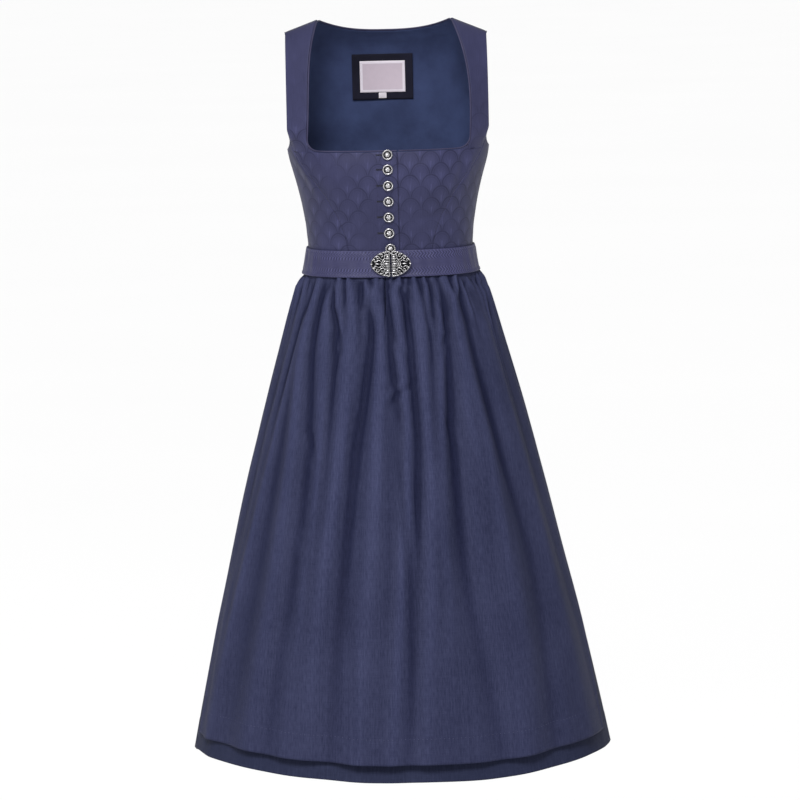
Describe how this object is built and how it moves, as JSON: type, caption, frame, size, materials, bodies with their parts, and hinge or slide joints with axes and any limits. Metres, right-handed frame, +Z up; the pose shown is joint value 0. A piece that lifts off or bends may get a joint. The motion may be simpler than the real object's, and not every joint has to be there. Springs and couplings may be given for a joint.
{
  "type": "dirndl",
  "caption": "Dark blue buttoned dirndl with a square neckline, a gathered midi skirt and a gathered apron closed by an oval clasp, hollow as on a wearer.",
  "frame": {"origin": "between the two shoulders, at the height where the straps rest on the wearer", "axes": "+Z up, the front faces -Y, +X is the wearer's left"},
  "size_m": [0.642, 0.5503, 1.1192],
  "materials": {
    "jacquard": "tone-on-tone jacquard with a scallop repeat, low sheen",
    "lining": "plain woven lining, matt",
    "patch": "dark plain woven patch, matt",
    "label": "smooth woven label with a pale border",
    "piping": "rolled piping, slight sheen",
    "apron_cloth": "fine twill with a soft sheen",
    "band_cloth": "herringbone band with a soft sheen",
    "skirt_cloth": "plain weave, low sheen",
    "silver": "antique silver with darkened hollows"
  },
  "bodies": {
    "root": {"bodice_front_right": "jacquard", "bodice_front_left": "jacquard", "bodice_side_right": "jacquard", "bodice_side_left": "jacquard", "bodice_back": "jacquard", "lining_back": "lining", "label_patch": "patch", "label": "label", "size_tab": "label", "neckline_piping": "piping", "apron_skirt": "apron_cloth", "apron_band": "band_cloth", "skirt_front": "skirt_cloth", "skirt_back": "skirt_cloth", "button_1": "silver", "button_2": "silver", "button_3": "silver", "button_4": "silver", "button_5": "silver", "button_6": "silver", "button_7": "silver", "clasp_right": "silver", "clasp_left": "silver"}
  },
  "joints": []
}
